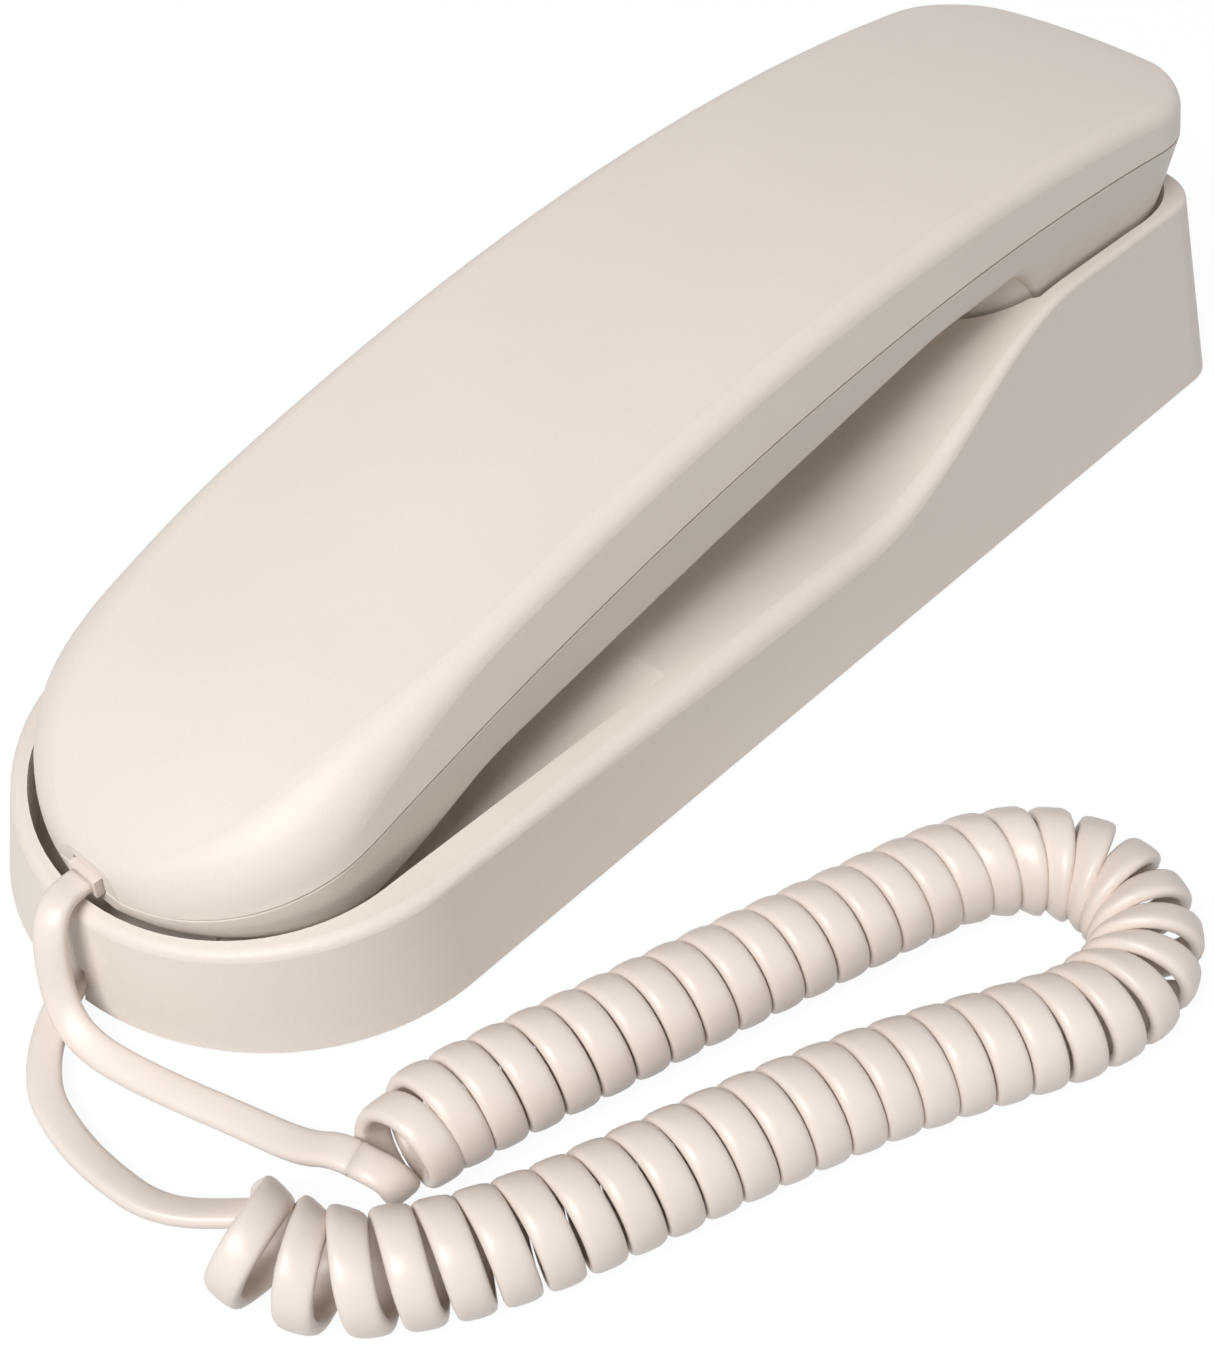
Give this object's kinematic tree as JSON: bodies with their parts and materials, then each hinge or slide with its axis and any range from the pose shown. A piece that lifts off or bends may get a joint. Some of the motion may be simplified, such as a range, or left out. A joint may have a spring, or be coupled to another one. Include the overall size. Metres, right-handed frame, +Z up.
{
  "type": "corded landline phone",
  "caption": "Slim corded desk phone: an arched keypad handset lies face down on a sloped cradle base, joined to it by a curly cord.",
  "frame": {"origin": "on the table, below the middle of the base", "axes": "+Y from the mouthpiece end towards the earpiece end, +Z up, +X to the right when looking along +Y"},
  "size_m": [0.1431, 0.2358, 0.0569],
  "materials": {
    "shell": "fine texture",
    "key": "smooth",
    "soft_rubber": "matte",
    "foot_rubber": "matte",
    "board": "satin",
    "steel": "plain",
    "capsule": "satin",
    "ringer_disc": "satin",
    "dark_plastic": "satin",
    "anchor": "semi-gloss",
    "wire": "semi-gloss",
    "cord": "semi-gloss"
  },
  "bodies": {
    "base": {"base_cradle": "shell", "base_plate": "shell", "base_feet": "foot_rubber", "base_screws": "steel", "base_ballast": "steel", "ringer": "ringer_disc", "base_board": "board", "base_board_screws": "steel", "base_cord_anchor": "anchor", "line_jack": "dark_plastic", "hook_switch": "dark_plastic", "hook_spring": "steel", "ringer_switch": "dark_plastic", "base_wires": "wire", "cord_curls": "cord", "cord_handset_lead": "cord", "cord_base_lead": "cord"},
    "handset": {"handset_back": "shell", "handset_face": "shell", "handset_board": "board", "keypad_mat": "soft_rubber", "board_screws": "steel", "handset_screws": "steel", "receiver": "capsule", "receiver_gasket": "soft_rubber", "microphone": "capsule", "microphone_boot": "soft_rubber", "handset_cord_anchor": "anchor", "handset_wires": "wire", "receiver_wires": "wire"},
    "hook": {"hook_plunger": "key"},
    "ringer_slider": {"ringer_knob": "key"},
    "key_1": {"key_1": "key"},
    "key_2": {"key_2": "key"},
    "key_3": {"key_3": "key"},
    "key_4": {"key_4": "key"},
    "key_5": {"key_5": "key"},
    "key_6": {"key_6": "key"},
    "key_7": {"key_7": "key"},
    "key_8": {"key_8": "key"},
    "key_9": {"key_9": "key"},
    "key_star": {"key_star": "key"},
    "key_0": {"key_0": "key"},
    "key_hash": {"key_hash": "key"},
    "key_flash": {"key_flash": "key"},
    "key_redial": {"key_redial": "key"}
  },
  "joints": [
    {"name": "handset_lift", "type": "slide", "parent": "base", "child": "handset", "axis": [0, 0, 1], "range_m": [0, 0.08]},
    {"name": "hook_rise", "type": "slide", "parent": "base", "child": "hook", "axis": [0, 0, 1], "range_m": [0, 0.004], "deforming": ["hook_spring"]},
    {"name": "ringer_slide", "type": "slide", "parent": "base", "child": "ringer_slider", "axis": [1, 0, 0], "range_m": [-0.0015, 0.0015]},
    {"name": "key_1_press", "type": "slide", "parent": "handset", "child": "key_1", "axis": [0, -0.1998, 0.9798], "range_m": [0, 0.0013], "stiffness_N_per_m": 600},
    {"name": "key_2_press", "type": "slide", "parent": "handset", "child": "key_2", "axis": [0, -0.1998, 0.9798], "range_m": [0, 0.0013], "stiffness_N_per_m": 600},
    {"name": "key_3_press", "type": "slide", "parent": "handset", "child": "key_3", "axis": [0, -0.1998, 0.9798], "range_m": [0, 0.0013], "stiffness_N_per_m": 600},
    {"name": "key_4_press", "type": "slide", "parent": "handset", "child": "key_4", "axis": [0, -0.1998, 0.9798], "range_m": [0, 0.0013], "stiffness_N_per_m": 600},
    {"name": "key_5_press", "type": "slide", "parent": "handset", "child": "key_5", "axis": [0, -0.1998, 0.9798], "range_m": [0, 0.0013], "stiffness_N_per_m": 600},
    {"name": "key_6_press", "type": "slide", "parent": "handset", "child": "key_6", "axis": [0, -0.1998, 0.9798], "range_m": [0, 0.0013], "stiffness_N_per_m": 600},
    {"name": "key_7_press", "type": "slide", "parent": "handset", "child": "key_7", "axis": [0, -0.1998, 0.9798], "range_m": [0, 0.0013], "stiffness_N_per_m": 600},
    {"name": "key_8_press", "type": "slide", "parent": "handset", "child": "key_8", "axis": [0, -0.1998, 0.9798], "range_m": [0, 0.0013], "stiffness_N_per_m": 600},
    {"name": "key_9_press", "type": "slide", "parent": "handset", "child": "key_9", "axis": [0, -0.1998, 0.9798], "range_m": [0, 0.0013], "stiffness_N_per_m": 600},
    {"name": "key_star_press", "type": "slide", "parent": "handset", "child": "key_star", "axis": [0, -0.1998, 0.9798], "range_m": [0, 0.0013], "stiffness_N_per_m": 600},
    {"name": "key_0_press", "type": "slide", "parent": "handset", "child": "key_0", "axis": [0, -0.1998, 0.9798], "range_m": [0, 0.0013], "stiffness_N_per_m": 600},
    {"name": "key_hash_press", "type": "slide", "parent": "handset", "child": "key_hash", "axis": [0, -0.1998, 0.9798], "range_m": [0, 0.0013], "stiffness_N_per_m": 600},
    {"name": "key_flash_press", "type": "slide", "parent": "handset", "child": "key_flash", "axis": [0, -0.1998, 0.9798], "range_m": [0, 0.0013], "stiffness_N_per_m": 600},
    {"name": "key_redial_press", "type": "slide", "parent": "handset", "child": "key_redial", "axis": [0, -0.1998, 0.9798], "range_m": [0, 0.0013], "stiffness_N_per_m": 600}
  ],
  "couplings": [
    {"joint": "hook_rise", "follows": "handset_lift", "ratio": 0.05}
  ]
}
